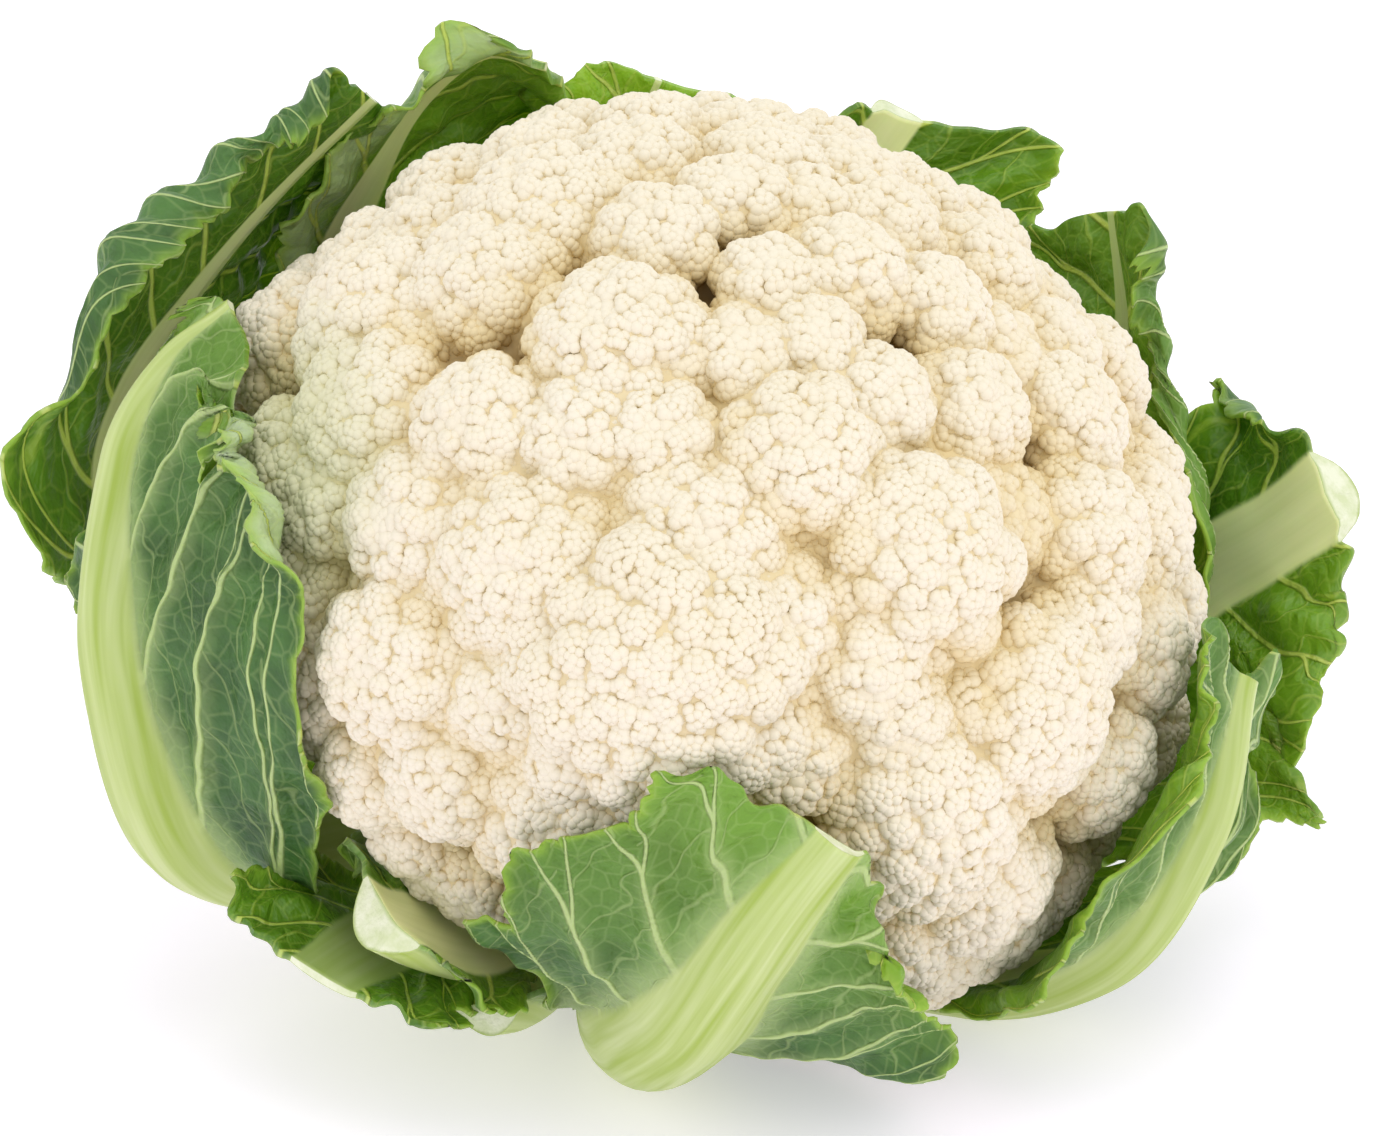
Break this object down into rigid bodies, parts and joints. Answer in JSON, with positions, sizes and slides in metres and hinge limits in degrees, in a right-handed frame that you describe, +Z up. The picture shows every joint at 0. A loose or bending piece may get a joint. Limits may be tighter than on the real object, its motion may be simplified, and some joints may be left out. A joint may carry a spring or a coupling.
{
  "type": "cauliflower head",
  "caption": "Trimmed cauliflower head: a pale knobbly curd held in ruffled green wrapper leaves with wide pale ribs, on a short cut stem, leaning on its leaves.",
  "frame": {"origin": "centre of the stem's cut face, on the surface that the head rests on", "axes": "+Z up from the surface; +X to the right and -Y towards the viewer of the picture; the head's own axis leans 27 degrees from +Z, forward and to the right"},
  "size_m": [0.2529, 0.2162, 0.1664],
  "materials": {
    "curd": "matt ivory florets, warm yellow in the creases",
    "stem": "pale green skin with a moist white-green cut",
    "leaf": "waxy blue-green outside, glossier dark green inside, pale green ribs and veins"
  },
  "bodies": {
    "root": {"curd": "curd", "stem": "stem", "leaf_left": "leaf", "leaf_upper_left": "leaf", "leaf_top_left": "leaf", "leaf_top": "leaf", "leaf_top_right": "leaf", "leaf_upper_right": "leaf", "leaf_right": "leaf", "leaf_right_front": "leaf", "leaf_front": "leaf", "leaf_low_left": "leaf", "leaf_stub": "leaf", "leaf_stub_low": "leaf"}
  },
  "joints": []
}
